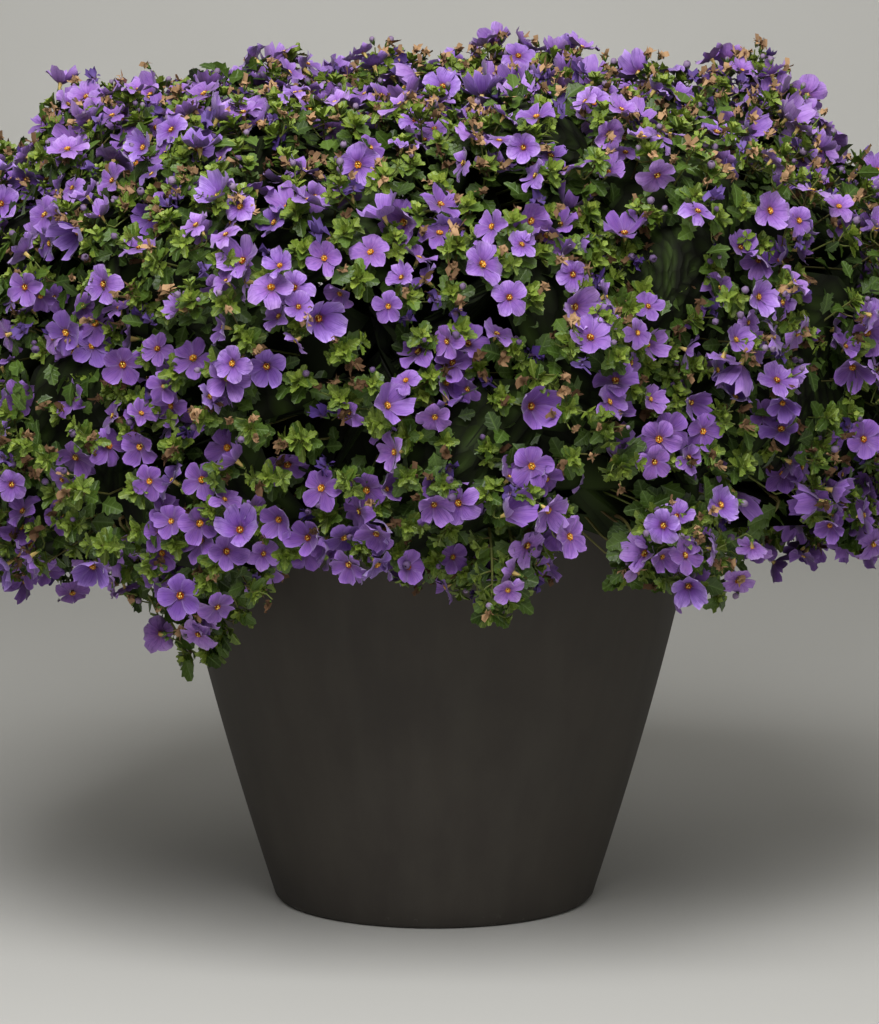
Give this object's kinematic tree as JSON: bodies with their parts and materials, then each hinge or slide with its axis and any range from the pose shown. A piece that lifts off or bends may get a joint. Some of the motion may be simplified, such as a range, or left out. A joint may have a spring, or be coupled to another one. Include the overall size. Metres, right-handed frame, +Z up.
{
  "type": "potted bacopa",
  "caption": "Dense dome of small violet flowers and toothed leaves spilling over a plain tapered dark pot.",
  "frame": {"origin": "middle of the pot's flat underside", "axes": "+Z up along the pot's axis, -Y towards the front, +X to the right as seen from the front"},
  "size_m": [0.5806, 0.5773, 0.4823],
  "materials": {
    "pot": "matte",
    "soil": "matte",
    "foliage": "satin"
  },
  "bodies": {
    "root": {"pot": "pot", "potting_soil": "soil", "spray_01": "foliage", "spray_02": "foliage", "spray_03": "foliage", "spray_04": "foliage", "spray_05": "foliage", "spray_06": "foliage", "spray_07": "foliage", "spray_08": "foliage", "spray_09": "foliage", "spray_10": "foliage", "spray_11": "foliage", "spray_12": "foliage", "spray_13": "foliage", "spray_14": "foliage", "spray_15": "foliage", "spray_16": "foliage", "spray_17": "foliage", "spray_18": "foliage", "spray_19": "foliage", "spray_20": "foliage", "spray_21": "foliage", "spray_22": "foliage", "spray_23": "foliage", "spray_24": "foliage", "spray_25": "foliage", "spray_26": "foliage", "spray_27": "foliage", "spray_28": "foliage", "spray_29": "foliage", "spray_30": "foliage", "spray_31": "foliage", "spray_32": "foliage"}
  },
  "joints": []
}
